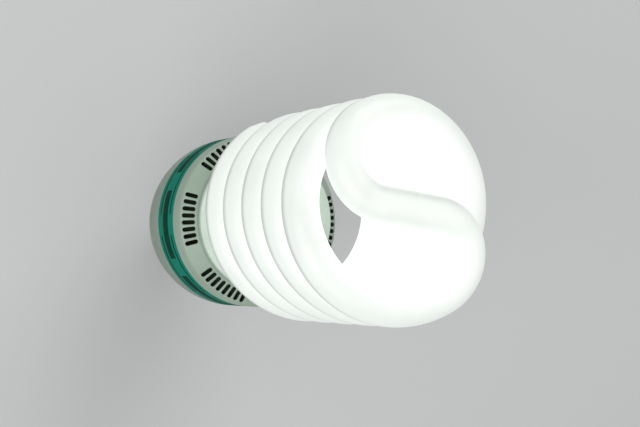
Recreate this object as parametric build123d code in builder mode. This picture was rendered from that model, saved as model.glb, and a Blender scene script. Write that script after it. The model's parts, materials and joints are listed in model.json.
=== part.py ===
from build123d import *
from math import acos, atan2, cos, degrees, pi, radians, sin, sqrt, tan
import os

# Compact fluorescent bulb: a sealed twin-arm spiral tube on a vented two-piece housing with a screw cap.
# Millimetres. +Z runs along the bulb's axis, from the centre contact's lowest point (the origin) to the
# crown of the spiral. The two legs of the tube stand on the X axis.

# Glass tube
tube_d = 17.0
coil_gap = 4.3
coil_r = 44.7
coil_turns = 2.18
crown_climb = 114.8
crown_rise = 19.8
crown_dip = 3.5
bridge_slack = 5.2
coil_lift = 34.0
leg_r = 27.5
leg_turn = 30.0
leg_stand = 6.0
leg_pull = 16.0
tube_end_below = 11.2

# Screw cap, to the common 27 mm size
collar_r = 13.0
collar_len = 6.2
thread_root_r = 12.1
thread_crest_r = 13.2
thread_pitch = 3.629
thread_flank = 2.8
shell_sheet = 0.4
shell_start = 5.0
shell_end = 26.0
shell_lip_r = 10.2
shell_lip_rise = 2.0
contact_r = 4.6
contact_rim = 1.0
insulator_low_r = 5.6
insulator_flange = 1.4

# Lower housing
housing_r = 47.4
housing_wall = 2.4
neck_r = 16.0
neck_step = 1.8
neck_wall = 2.0
neck_low_z = 12.0
bowl_h = 60.0
band_w = 21.6
band_depth = 0.5
belt_rim = 0.8
rib_count = 8
rib_w = 2.0
rib_depth = 3.2
rib_h = 16.0

# Upper cover
cover_wall = 2.2
skirt_h = 8.2
shoulder_h = 4.9
shoulder_in = 8.2
deck_h = 5.0
shoulder_round = 2.0
foot_round = 1.0
crest_round = 0.9
plug_wall = 2.0
plug_depth = 5.0
bead_h = 0.35
bead_w = 1.4
slot_len = 7.0
slot_w = 2.3
slot_seat = 0.51
slot_step = 4.85
slots_per_group = 8
groups_per_side = 3
group_step = 58.2
slot_cut = 3.3
sleeve_gap = 1.1
sleeve_wall = 1.2
sleeve_len = 7.0

# Ballast board and its wiring
board_t = 1.6
board_gap = 0.6
lead_r = 0.4
lead_tail = 1.0
lead_hole_r = 0.6
lead_inset = 1.0
wire_r = 0.7
wire_bend_r = 1.1
fit = 0.1
pin_r = 0.6
pin_rise = 4.0
pin_spread = 3.5

# Ballast components
bulk_d = 18.0
bulk_h = 34.0
bulk_space = 4.0
bulk_x = -26.0
bulk_pitch = 7.5
bulk_crimp = 0.6
bulk_crimp_drop = 3.0
choke_x = 8.0
choke_y = 22.5
core_w = 26.0
core_h = 22.0
core_depth = 9.0
limb_w = 8.0
yoke_w = 4.5
bobbin_wall = 0.8
bobbin_reach = 5.5
bobbin_flange = 1.0
toroid_x = 9.0
toroid_d = 10.0
toroid_bore = 5.6
toroid_h = 4.6
toroid_wrap = 0.7
winding_count = 3
winding_arc = 70.0
winding_first = 90.0
drum_x = -8.0
drum_y = -31.0
drum_d = 11.0
drum_h = 14.0
drum_flange = 2.0
drum_waist_d = 5.0
resonant_x = 31.0
resonant_y = 5.0
resonant_size = (7.0, 18.0, 14.0)
coupling_x = 6.0
coupling_y = -16.0
coupling_size = (13.0, 6.0, 11.0)
film_lead_inset = 1.5
switch_spots = ((26.0, -17.0), (10.0, -30.0))
switch_w = 10.0
switch_t = 4.6
switch_body = 9.0
switch_tab = 6.4
tab_t = 1.3
switch_leg = 3.5
sink_w = 14.0
sink_t = 1.6
sink_h = 22.0
diode_d = 2.7
diode_len = 5.0
diode_step = 4.2
diode_y = 27.0
diode_count = 4
resistor_d = 2.4
resistor_len = 6.5
resistor_step = 4.0
resistor_x = -9.0
resistor_count = 5
fuse_d = 3.6
fuse_len = 9.0
fuse_y = -19.0
diac_d = 2.0
diac_len = 4.0
diac_x = 20.0
diac_y = 4.0
disc_d = 9.0
disc_t = 4.5
disc_x = 20.5
disc_y = -5.0
axial_stub = 1.2

# Heights worked out from the sizes above
bowl_z = shell_end + neck_step
belt_z = bowl_z + bowl_h
band_top = belt_z + band_w
seam_z = band_top + belt_rim
shoulder_z = seam_z + skirt_h
deck_z = shoulder_z + shoulder_h
top_z = deck_z + deck_h
plug_z = seam_z - plug_depth
board_top = plug_z - fit
board_z = board_top - board_t
coil_z = top_z + coil_lift
tube_end_z = top_z - tube_end_below
sleeve_z = top_z - cover_wall - sleeve_len

# Radii worked out from the sizes above
tube_r = tube_d / 2
belt_in_r = housing_r - housing_wall
board_r = belt_in_r - board_gap
deck_r = housing_r - shoulder_in
sleeve_r = tube_r + sleeve_gap
lead_end = board_top + lead_tail

# Rise of one arm in a full turn: the two arms share the pitch
coil_lead = 2 * (tube_d + coil_gap)
coil_slope = coil_lead / (2 * pi * coil_r)

# The bowl is one arc, upright where it meets the belt
bowl_in = housing_r - neck_r
bowl_arc_r = (bowl_in**2 + bowl_h**2) / (2 * bowl_in)
bowl_centre = housing_r - bowl_arc_r

os.makedirs("parts", exist_ok=True)


def polar(radius, angle, height):
    """A point from its distance to the axis, its angle in degrees and its height."""
    return (radius * cos(radians(angle)), radius * sin(radians(angle)), height)


# The spiral tube: one sealed glass body. Half of it is swept from a leg to the crown's middle, with the
# helix starting over the X axis. Both halves are then turned so that the legs stand on that axis.
helix_h = coil_lead * coil_turns
helix_end = 360 * coil_turns
lobe_r = (coil_r - bridge_slack) / 2
lobe_middle = coil_r - lobe_r
lobe_start = helix_end + crown_climb
lobe_sweep = 180 - degrees(acos(lobe_r / lobe_middle))
climb_run = coil_r * radians(crown_climb)
crown_run = climb_run + lobe_r * radians(lobe_sweep)
climb_share = climb_run / crown_run
crown_spans = 3


def crown_point(share):
    """A point of the crown at a share of its run: round the coil, then in along the lobe."""
    climb = min(share * crown_run, climb_run)
    lobe_turn = degrees((share * crown_run - climb) / lobe_r)
    carry = share * (1 - share) ** 2 * coil_slope * crown_run
    dip = 16 * share**2 * (1 - share) ** 2 * crown_dip
    height = coil_z + helix_h + carry + share**2 * (3 - 2 * share) * crown_rise - dip
    if lobe_turn == 0:
        return Vector(polar(coil_r, helix_end + degrees(climb / coil_r), height))
    return Vector(polar(lobe_middle, lobe_start, height)) + Vector(polar(lobe_r, lobe_start + lobe_turn, 0))


def crown_heading(share):
    """The crown's direction there, as long as its whole run."""
    climb = min(share * crown_run, climb_run)
    turn = degrees(climb / coil_r + (share * crown_run - climb) / lobe_r)
    carry = (1 - share) * (1 - 3 * share) * coil_slope * crown_run
    lift = share * (1 - share) * (6 * crown_rise - 32 * (1 - 2 * share) * crown_dip)
    return Vector(polar(crown_run, helix_end + turn + 90, carry + lift))


climb_shares = [climb_share * i / crown_spans for i in range(crown_spans)]
lobe_shares = [climb_share + (1 - climb_share) * i / crown_spans for i in range(crown_spans + 1)]
crown_shares = climb_shares + lobe_shares
bridge_end = crown_point(1)
leg_top = polar(leg_r, -leg_turn, top_z + leg_stand)
leg_end = polar(leg_r, -leg_turn, tube_end_z)
coil_start = (coil_r, 0, coil_z)
coil_pull = (coil_r, -leg_pull, coil_z - leg_pull * coil_slope)
leg_rise = (leg_top[0], leg_top[1], leg_top[2] + leg_pull)

with BuildPart() as half_tube:
    with BuildLine() as half_path:
        Line(leg_end, leg_top)
        Bezier(leg_top, leg_rise, coil_pull, coil_start)
        Helix(pitch=coil_lead, height=helix_h, radius=coil_r, center=(0, 0, coil_z))
        for low, high in zip(crown_shares, crown_shares[1:]):
            pull = (high - low) / 3
            low_pull = crown_point(low) + crown_heading(low) * pull
            high_pull = crown_point(high) - crown_heading(high) * pull
            Bezier(crown_point(low), low_pull, high_pull, crown_point(high))
        Line(bridge_end, (0, 0, bridge_end.Z))
    with BuildSketch(Plane.XY.offset(tube_end_z)) as tube_section:
        with Locations(leg_end[:2]):
            Circle(tube_r)
    sweep(path=half_path.line)

with BuildPart() as spiral_tube:
    add(half_tube.part, rotation=(0, 0, leg_turn))
    add(half_tube.part, rotation=(0, 0, leg_turn + 180))
spiral_tube.part.label = "spiral_tube"
export_step(spiral_tube.part, "parts/spiral_tube.step")

# Cement that holds the two legs in the cover's sleeves
with BuildPart() as tube_cement:
    with BuildSketch(Plane.XY.offset(sleeve_z)) as cement_rings:
        with PolarLocations(leg_r, 2):
            Circle(sleeve_r)
            Circle(tube_r, mode=Mode.SUBTRACT)
    extrude(amount=top_z - sleeve_z)
tube_cement.part.label = "tube_cement"
export_step(tube_cement.part, "parts/tube_cement.step")


# Upper cover: skirt, sloped shoulder with vents, raised deck with two sleeves, and a plug ring that snaps in
shoulder_tilt = atan2(shoulder_in, shoulder_h)


def shoulder_profile(inset, low_z):
    """Corners of the cover's half section, moved in from the outside by a wall."""
    drop = inset * tan(shoulder_tilt / 2)
    return [
        (0, low_z),
        (housing_r - inset, low_z),
        (housing_r - inset, shoulder_z - drop),
        (deck_r - inset, deck_z - drop),
        (deck_r - inset, top_z - inset),
        (0, top_z - inset),
    ]


slot_middle_r = housing_r - slot_seat * shoulder_in
slot_middle_z = shoulder_z + slot_seat * shoulder_h
slot_along = (-sin(shoulder_tilt), 0, cos(shoulder_tilt))
slot_out = (cos(shoulder_tilt), 0, sin(shoulder_tilt))
slot_plane = Plane(origin=(slot_middle_r, 0, slot_middle_z), x_dir=slot_along, z_dir=slot_out)
group_span = slot_step * (slots_per_group - 1)
side_span = group_step * (groups_per_side - 1)

with BuildPart() as vent_slot:
    with BuildSketch(slot_plane):
        SlotOverall(slot_len, slot_w)
    extrude(amount=slot_cut, both=True)

with BuildPart() as upper_cover:
    with BuildSketch(Plane.XZ) as cover_outside:
        Polygon(*shoulder_profile(0, seam_z), align=None)
        fillet(cover_outside.vertices().group_by(Axis.X)[-1].sort_by(Axis.Y)[-1], shoulder_round)
        fillet(cover_outside.vertices().group_by(Axis.X)[1].sort_by(Axis.Y)[0], foot_round)
        fillet(cover_outside.vertices().group_by(Axis.X)[1].sort_by(Axis.Y)[-1], crest_round)
    revolve(axis=Axis.Z)
    with BuildSketch(Plane.XZ) as cover_inside:
        Polygon(*shoulder_profile(cover_wall, seam_z), align=None)
    revolve(axis=Axis.Z, mode=Mode.SUBTRACT)
    with BuildSketch(Plane.XY.offset(plug_z)) as plug_ring:
        Circle(belt_in_r - fit)
        Circle(belt_in_r - fit - plug_wall, mode=Mode.SUBTRACT)
    extrude(amount=plug_depth)
    with BuildSketch(Plane.XY.offset(seam_z)) as plug_root:
        Circle(housing_r - cover_wall / 2)
        Circle(belt_in_r - fit - plug_wall, mode=Mode.SUBTRACT)
    extrude(amount=plug_wall)
    with BuildSketch(Plane.XY.offset(plug_z + plug_depth / 2)) as snap_bead:
        Circle(belt_in_r - fit + bead_h)
        Circle(belt_in_r - fit - plug_wall / 2, mode=Mode.SUBTRACT)
    extrude(amount=bead_w)
    with BuildSketch(Plane.XY.offset(sleeve_z)) as sleeves:
        with PolarLocations(leg_r, 2):
            Circle(sleeve_r + sleeve_wall)
    extrude(amount=sleeve_len + cover_wall / 2)
    with BuildSketch(Plane.XY.offset(sleeve_z)) as sleeve_bores:
        with PolarLocations(leg_r, 2):
            Circle(sleeve_r)
    extrude(amount=top_z - sleeve_z, mode=Mode.SUBTRACT)
    with PolarLocations(0, 2, start_angle=90):
        with PolarLocations(0, groups_per_side, -side_span / 2, side_span, endpoint=True):
            with PolarLocations(0, slots_per_group, -group_span / 2, group_span, endpoint=True):
                add(vent_slot.part, mode=Mode.SUBTRACT)
upper_cover.part.label = "upper_cover"
export_step(upper_cover.part, "parts/upper_cover.step")

# Lower housing: neck, bowl and belt in one moulding, with ribs that carry the board
neck_out_r = collar_r - shell_sheet - fit
neck_low_r = thread_root_r - shell_sheet - fit
neck_in_r = neck_low_r - neck_wall
collar_z = shell_end - collar_len
bowl_in_arc_r = bowl_arc_r - housing_wall
bowl_in_z = belt_z - sqrt(bowl_in_arc_r**2 - (neck_in_r - bowl_centre) ** 2)

with BuildPart() as lower_housing:
    with BuildSketch(Plane.XZ) as housing_outside:
        with BuildLine():
            Polyline(
                (neck_r, bowl_z),
                (neck_r, shell_end),
                (neck_out_r, shell_end),
                (neck_out_r, collar_z + neck_step),
                (neck_low_r, collar_z),
                (neck_low_r, neck_low_z),
                (0, neck_low_z),
                (0, seam_z),
                (housing_r, seam_z),
                (housing_r, belt_z),
            )
            TangentArc((housing_r, belt_z), (neck_r, bowl_z), tangent=(0, -1))
        make_face()
    revolve(axis=Axis.Z)
    with BuildSketch(Plane.XZ) as housing_inside:
        with BuildLine():
            Polyline(
                (neck_in_r, bowl_in_z),
                (neck_in_r, neck_low_z),
                (0, neck_low_z),
                (0, seam_z),
                (belt_in_r, seam_z),
                (belt_in_r, belt_z),
            )
            TangentArc((belt_in_r, belt_z), (neck_in_r, bowl_in_z), tangent=(0, -1))
        make_face()
    revolve(axis=Axis.Z, mode=Mode.SUBTRACT)
    with BuildSketch(Plane.XY.offset(belt_z)) as band_groove:
        Circle(housing_r)
        Circle(housing_r - band_depth, mode=Mode.SUBTRACT)
    extrude(amount=band_w, mode=Mode.SUBTRACT)
    with BuildSketch(Plane.XY.offset(plug_z + plug_depth / 2 - fit)) as bead_groove:
        Circle(belt_in_r + bead_h)
        Circle(belt_in_r - bead_h, mode=Mode.SUBTRACT)
    extrude(amount=bead_w + 2 * fit, mode=Mode.SUBTRACT)
    with BuildSketch(Plane.XY.offset(board_z)) as board_ribs:
        with PolarLocations(belt_in_r - rib_depth / 2 + fit, rib_count, start_angle=180 / rib_count):
            Rectangle(rib_depth + 2 * fit, rib_w)
    extrude(amount=-rib_h)
lower_housing.part.label = "lower_housing"
export_step(lower_housing.part, "parts/lower_housing.step")

# Printed colour band, wrapped round the belt in its shallow groove
with BuildPart() as colour_band:
    with BuildSketch(Plane.XY.offset(belt_z)) as band_ring:
        Circle(housing_r)
        Circle(housing_r - band_depth, mode=Mode.SUBTRACT)
    extrude(amount=band_w)
colour_band.part.label = "colour_band"
export_step(colour_band.part, "parts/colour_band.step")

# Screw shell: thin sheet, rolled in at its lower edge, with a plain collar over the neck
lip_z = shell_start + shell_lip_rise
thread_low_r = thread_root_r - shell_sheet / 2
thread_z = lip_z + thread_flank / 2
thread_len = collar_z - thread_flank / 2 - thread_z

with BuildPart() as screw_shell:
    with BuildSketch(Plane.XZ) as shell_section:
        with BuildLine():
            Polyline(
                (thread_root_r, lip_z),
                (thread_root_r, collar_z),
                (collar_r, collar_z + neck_step),
                (collar_r, shell_end),
                (collar_r - shell_sheet, shell_end),
                (collar_r - shell_sheet, collar_z + neck_step),
                (thread_root_r - shell_sheet, collar_z),
                (thread_root_r - shell_sheet, lip_z),
            )
            TangentArc((thread_root_r, lip_z), (shell_lip_r, shell_start), tangent=(0, -1))
            Line((shell_lip_r, shell_start), (shell_lip_r, shell_start + shell_sheet))
            TangentArc(
                (thread_root_r - shell_sheet, lip_z),
                (shell_lip_r, shell_start + shell_sheet),
                tangent=(0, -1),
            )
        make_face()
    revolve(axis=Axis.Z)
    with BuildLine(Plane.XY.offset(thread_z)) as thread_path:
        Helix(pitch=thread_pitch, height=thread_len, radius=thread_root_r)
    with BuildSketch(Plane.XZ) as thread_section:
        with BuildLine():
            Line((thread_low_r, thread_z + thread_flank / 2), (thread_low_r, thread_z - thread_flank / 2))
            ThreePointArc(
                (thread_low_r, thread_z - thread_flank / 2),
                (thread_crest_r, thread_z),
                (thread_low_r, thread_z + thread_flank / 2),
            )
        make_face()
    sweep(path=thread_path.line, is_frenet=True)
screw_shell.part.label = "screw_shell"
export_step(screw_shell.part, "parts/screw_shell.step")

# Glass insulator that closes the shell round the centre contact
insulator_top = lip_z + insulator_flange + fit
insulator_r = shell_lip_r - fit
flange_r = thread_root_r - shell_sheet - fit

with BuildPart() as cap_insulator:
    with BuildSketch(Plane.XZ) as insulator_section:
        Polygon(
            (wire_r + fit, contact_rim),
            (insulator_low_r, contact_rim),
            (insulator_r, shell_start),
            (insulator_r, lip_z + fit),
            (flange_r, lip_z + fit),
            (flange_r, insulator_top),
            (wire_r + fit, insulator_top),
            align=None,
        )
    revolve(axis=Axis.Z)
cap_insulator.part.label = "cap_insulator"
export_step(cap_insulator.part, "parts/cap_insulator.step")

# Centre contact, a shallow soldered dome
with BuildPart() as centre_contact:
    with BuildSketch(Plane.XZ) as contact_section:
        with BuildLine():
            Polyline((0, 0), (0, contact_rim), (contact_r, contact_rim), (contact_r, contact_rim / 2))
            TangentArc((0, 0), (contact_r, contact_rim / 2), tangent=(1, 0))
        make_face()
    revolve(axis=Axis.Z)
centre_contact.part.label = "centre_contact"
export_step(centre_contact.part, "parts/centre_contact.step")


# Places of the component leads, which set the board's holes as well
def lead_pair(x, y, span, along=0):
    """Two lead places round a middle, spread along a direction in degrees."""
    dx = span / 2 * cos(radians(along))
    dy = span / 2 * sin(radians(along))
    return [(x - dx, y - dy), (x + dx, y + dy)]


bulk_y = (bulk_d + bulk_space) / 2
bulk_spots = [(bulk_x, bulk_y), (bulk_x, -bulk_y)]
bulk_leads = [lead_pair(x, y, bulk_pitch, 90) for x, y in bulk_spots]
bobbin_y = core_depth / 2 + fit + bobbin_wall + bobbin_reach
choke_leads = lead_pair(choke_x, choke_y, 2 * (bobbin_y - lead_inset), 90)
winding_angles = [winding_first + 360 / winding_count * i for i in range(winding_count)]
winding_spots = [polar(toroid_d / 2 + toroid_wrap, angle, 0) for angle in winding_angles]
toroid_leads = [(toroid_x + x, y) for x, y, z in winding_spots]
drum_leads = lead_pair(drum_x, drum_y, drum_d - 2 * lead_inset)
resonant_leads = lead_pair(resonant_x, resonant_y, resonant_size[1] - 2 * film_lead_inset, 90)
coupling_leads = lead_pair(coupling_x, coupling_y, coupling_size[0] - 2 * film_lead_inset)
switch_pitch = switch_w / 4
switch_leads = [[(x - switch_pitch, y), (x, y), (x + switch_pitch, y)] for x, y in switch_spots]
diode_spots = [(bulk_x + bulk_d / 4 + diode_step * i, diode_y) for i in range(diode_count)]
resistor_low_y = -resistor_step * (resistor_count - 1) / 2
resistor_spots = [(resistor_x, resistor_low_y + resistor_step * i) for i in range(resistor_count)]
axial_reach = 2 * axial_stub
diode_leads = [lead_pair(x, y, diode_len + axial_reach, 90) for x, y in diode_spots]
resistor_leads = [lead_pair(x, y, resistor_len + axial_reach) for x, y in resistor_spots]
fuse_leads = lead_pair(resistor_x, fuse_y, fuse_len + axial_reach)
diac_leads = lead_pair(diac_x, diac_y, diac_len + axial_reach, 90)
disc_leads = lead_pair(disc_x, disc_y, disc_d / 2)
pin_spots = [(side * leg_r, y) for side in (1, -1) for y in (-pin_spread, pin_spread)]

lead_spots = choke_leads + toroid_leads + drum_leads + resonant_leads + coupling_leads
lead_spots += fuse_leads + diac_leads + disc_leads
for spots in bulk_leads + switch_leads + diode_leads + resistor_leads:
    lead_spots += spots

with BuildPart() as ballast_board:
    with BuildSketch(Plane.XY.offset(board_z)) as board_face:
        Circle(board_r)
        with Locations(*lead_spots):
            Circle(lead_hole_r, mode=Mode.SUBTRACT)
        with Locations(*pin_spots):
            Circle(pin_r, mode=Mode.SUBTRACT)
    extrude(amount=board_t)
ballast_board.part.label = "ballast_board"
export_step(ballast_board.part, "parts/ballast_board.step")

# Posts on the board for the tube's wires, and the wires themselves
with BuildPart() as lamp_pins:
    with BuildSketch(Plane.XY.offset(board_z)):
        with Locations(*pin_spots):
            Circle(pin_r)
    extrude(amount=board_t + pin_rise)
lamp_pins.part.label = "lamp_pins"
export_step(lamp_pins.part, "parts/lamp_pins.step")

with BuildPart() as tube_leads:
    with BuildSketch(Plane.XY.offset(board_top + pin_rise)):
        with Locations(*pin_spots):
            Circle(lead_r)
    extrude(amount=tube_end_z - board_top - pin_rise)
tube_leads.part.label = "tube_leads"
export_step(tube_leads.part, "parts/tube_leads.step")

# Supply wires: one up the axis from the centre contact, one from the shell's wall past the neck's lower rim
neutral_z = (insulator_top + neck_low_z) / 2
neutral_r = neck_in_r - 2 * wire_r

with BuildPart() as line_wire:
    with BuildSketch(Plane.XY.offset(contact_rim)):
        Circle(wire_r)
    extrude(amount=board_z - contact_rim)
line_wire.part.label = "line_wire"
export_step(line_wire.part, "parts/line_wire.step")

with BuildPart() as neutral_wire:
    with BuildLine(Plane.YZ) as neutral_path:
        FilletPolyline(
            (flange_r, neutral_z),
            (neutral_r, neutral_z),
            (neutral_r, board_z),
            radius=wire_bend_r,
        )
    with BuildSketch(Plane.XY.offset(board_z)):
        with Locations((0, neutral_r)):
            Circle(wire_r)
    sweep(path=neutral_path.line)
neutral_wire.part.label = "neutral_wire"
export_step(neutral_wire.part, "parts/neutral_wire.step")


def leads(spots, low_z):
    """Round leads that run up through the board from a component's own level."""
    with BuildPart() as legs:
        with BuildSketch(Plane.XY.offset(low_z)):
            with Locations(*spots):
                Circle(lead_r)
        extrude(amount=lead_end - low_z)
    return legs.part


def axial(spots, body_d, body_len, along):
    """Axial components lying under the board, with leads bent up through it."""
    level = board_z - body_d / 2
    turn = (90, 0, 0) if along == 90 else (0, 90, 0)
    with BuildPart() as bodies:
        with Locations(*[(x, y, level) for x, y in spots]):
            Cylinder(body_d / 2, body_len, rotation=turn)
            Cylinder(lead_r, body_len + axial_reach, rotation=turn)
        for x, y in spots:
            add(leads(lead_pair(x, y, body_len + axial_reach, along), level))
    return bodies.part


# Bulk capacitors: two crimped cans
for number, (spot, spots) in enumerate(zip(bulk_spots, bulk_leads), start=1):
    name = f"bulk_capacitor_{number}"
    with BuildPart() as bulk_capacitor:
        with BuildSketch(Plane.XY.offset(board_z)):
            with Locations(spot):
                Circle(bulk_d / 2)
        extrude(amount=-bulk_h)
        fillet(bulk_capacitor.edges().group_by(Axis.Z)[0], bulk_crimp)
        with BuildSketch(Plane.XY.offset(board_z - bulk_crimp_drop)):
            with Locations(spot):
                Circle(bulk_d / 2)
                Circle(bulk_d / 2 - bulk_crimp, mode=Mode.SUBTRACT)
        extrude(amount=-2 * bulk_crimp, mode=Mode.SUBTRACT)
        add(leads(spots, board_z))
    bulk_capacitor.part.label = name
    export_step(bulk_capacitor.part, f"parts/{name}.step")

# Ballast choke: ferrite core, bobbin and winding
window_h = core_h - 2 * yoke_w
limb_side = (core_w - limb_w - 2 * yoke_w) / 2
choke_plane = Plane.XZ.offset(-choke_y)
core_middle_z = board_z - core_h / 2
bobbin_x = limb_w / 2 + fit + bobbin_wall
flange_x = limb_w / 2 + limb_side - fit
flange_z = board_z - yoke_w - fit

with BuildPart() as choke_core:
    with BuildSketch(choke_plane) as core_face:
        with Locations((choke_x, core_middle_z)):
            Rectangle(core_w, core_h)
            with GridLocations(limb_w + limb_side, 0, 2, 1):
                Rectangle(limb_side, window_h, mode=Mode.SUBTRACT)
    extrude(amount=core_depth / 2, both=True)
choke_core.part.label = "choke_core"
export_step(choke_core.part, "parts/choke_core.step")

with BuildPart() as choke_bobbin:
    with BuildSketch(Plane.XY.offset(flange_z)):
        with Locations((choke_x, choke_y)):
            Rectangle(2 * bobbin_x, core_depth + 2 * (fit + bobbin_wall))
    extrude(amount=-window_h + 2 * fit)
    with BuildSketch(Plane.XY.offset(flange_z)):
        with Locations((choke_x, choke_y)):
            Rectangle(2 * flange_x, 2 * bobbin_y)
    extrude(amount=-bobbin_flange)
    with BuildSketch(Plane.XY.offset(flange_z - window_h + 2 * fit)):
        with Locations((choke_x, choke_y)):
            Rectangle(2 * flange_x, 2 * bobbin_y)
    extrude(amount=bobbin_flange)
    with BuildSketch(Plane.XY.offset(flange_z)):
        with Locations((choke_x, choke_y)):
            Rectangle(limb_w + 2 * fit, core_depth + 2 * fit)
    extrude(amount=-window_h, mode=Mode.SUBTRACT)
    add(leads(choke_leads, flange_z))
choke_bobbin.part.label = "choke_bobbin"
export_step(choke_bobbin.part, "parts/choke_bobbin.step")

with BuildPart() as choke_winding:
    with BuildSketch(Plane.XY.offset(flange_z - bobbin_flange)):
        with Locations((choke_x, choke_y)):
            RectangleRounded(2 * flange_x - bobbin_wall, 2 * bobbin_y - 2 * bobbin_wall, limb_side / 2)
            Rectangle(2 * bobbin_x, core_depth + 2 * (fit + bobbin_wall), mode=Mode.SUBTRACT)
    extrude(amount=-window_h + 2 * fit + 2 * bobbin_flange)
choke_winding.part.label = "choke_winding"
export_step(choke_winding.part, "parts/choke_winding.step")

# Drive transformer: a small ring core with its windings
toroid_z = board_z - toroid_wrap - toroid_h
toroid_wall = (toroid_d - toroid_bore) / 2

with BuildPart() as drive_core:
    with BuildSketch(Plane.XY.offset(toroid_z)):
        with Locations((toroid_x, 0)):
            Circle(toroid_d / 2)
            Circle(toroid_bore / 2, mode=Mode.SUBTRACT)
    extrude(amount=toroid_h)
drive_core.part.label = "drive_core"
export_step(drive_core.part, "parts/drive_core.step")

with BuildPart() as winding_sector:
    with BuildSketch(Plane.XZ):
        with Locations(((toroid_d + toroid_bore) / 4, toroid_z + toroid_h / 2)):
            Rectangle(toroid_wall + 2 * toroid_wrap, toroid_h + 2 * toroid_wrap)
            Rectangle(toroid_wall, toroid_h, mode=Mode.SUBTRACT)
    revolve(axis=Axis.Z, revolution_arc=winding_arc)

with BuildPart() as drive_windings:
    with Locations((toroid_x, 0)):
        with PolarLocations(0, winding_count, start_angle=winding_first - winding_arc / 2):
            add(winding_sector.part)
    add(leads(toroid_leads, board_z - toroid_wrap))
drive_windings.part.label = "drive_windings"
export_step(drive_windings.part, "parts/drive_windings.step")

# Filter inductor: a drum core with its winding
with BuildPart() as filter_core:
    with BuildSketch(Plane.XY.offset(board_z)):
        with Locations((drum_x, drum_y)):
            Circle(drum_d / 2)
    extrude(amount=-drum_h)
    with BuildSketch(Plane.XY.offset(board_z - drum_flange)):
        with Locations((drum_x, drum_y)):
            Circle(drum_d / 2)
            Circle(drum_waist_d / 2, mode=Mode.SUBTRACT)
    extrude(amount=-drum_h + 2 * drum_flange, mode=Mode.SUBTRACT)
    add(leads(drum_leads, board_z))
filter_core.part.label = "filter_core"
export_step(filter_core.part, "parts/filter_core.step")

with BuildPart() as filter_winding:
    with BuildSketch(Plane.XY.offset(board_z - drum_flange)):
        with Locations((drum_x, drum_y)):
            Circle(drum_d / 2 - wire_r)
            Circle(drum_waist_d / 2, mode=Mode.SUBTRACT)
    extrude(amount=-drum_h + 2 * drum_flange)
filter_winding.part.label = "filter_winding"
export_step(filter_winding.part, "parts/filter_winding.step")

# Power transistors hang on their legs, each with its tab against a heat sink
switch_z = board_z - switch_leg
for number, (spot, spots) in enumerate(zip(switch_spots, switch_leads), start=1):
    back_y = spot[1] - switch_t / 2
    name = f"power_transistor_{number}"
    with BuildPart() as power_transistor:
        with BuildSketch(Plane.XY.offset(switch_z)):
            with Locations(spot):
                Rectangle(switch_w, switch_t)
        extrude(amount=-switch_body)
        with BuildSketch(Plane.XY.offset(switch_z - switch_body)):
            with Locations((spot[0], back_y + tab_t / 2)):
                Rectangle(switch_w, tab_t)
        extrude(amount=-switch_tab)
        add(leads(spots, switch_z))
    power_transistor.part.label = name
    export_step(power_transistor.part, f"parts/{name}.step")

    name = f"heat_sink_{number}"
    with BuildPart() as heat_sink:
        with BuildSketch(Plane.XY.offset(board_z)):
            with Locations((spot[0], back_y - sink_t / 2)):
                Rectangle(sink_w, sink_t)
        extrude(amount=-sink_h)
    heat_sink.part.label = name
    export_step(heat_sink.part, f"parts/{name}.step")

# Film capacitors
film_parts = {
    "resonant_capacitor": (resonant_x, resonant_y, resonant_size, resonant_leads),
    "coupling_capacitor": (coupling_x, coupling_y, coupling_size, coupling_leads),
}
for name, (x, y, size, spots) in film_parts.items():
    with BuildPart() as film_capacitor:
        with BuildSketch(Plane.XY.offset(board_z)):
            with Locations((x, y)):
                RectangleRounded(size[0], size[1], bobbin_wall)
        extrude(amount=-size[2])
        add(leads(spots, board_z))
    film_capacitor.part.label = name
    export_step(film_capacitor.part, f"parts/{name}.step")

# Small axial components
with BuildPart() as rectifier_diodes:
    add(axial(diode_spots, diode_d, diode_len, 90))
rectifier_diodes.part.label = "rectifier_diodes"
export_step(rectifier_diodes.part, "parts/rectifier_diodes.step")

with BuildPart() as resistors:
    add(axial(resistor_spots, resistor_d, resistor_len, 0))
resistors.part.label = "resistors"
export_step(resistors.part, "parts/resistors.step")

with BuildPart() as fuse:
    add(axial([(resistor_x, fuse_y)], fuse_d, fuse_len, 0))
fuse.part.label = "fuse"
export_step(fuse.part, "parts/fuse.step")

with BuildPart() as trigger_diode:
    add(axial([(diac_x, diac_y)], diac_d, diac_len, 90))
trigger_diode.part.label = "trigger_diode"
export_step(trigger_diode.part, "parts/trigger_diode.step")

# Preheat thermistor: a disc that stands on edge under the board
with BuildPart() as thermistor:
    with Locations((disc_x, disc_y, board_z - disc_d / 2)):
        Cylinder(disc_d / 2, disc_t, rotation=(90, 0, 0))
    add(leads(disc_leads, board_z - disc_d / 2))
thermistor.part.label = "thermistor"
export_step(thermistor.part, "parts/thermistor.step")
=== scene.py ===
import json
import math

import bpy
from bpy.props import FloatProperty, FloatVectorProperty, IntProperty, PointerProperty
from mathutils import Matrix, Vector


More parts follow.
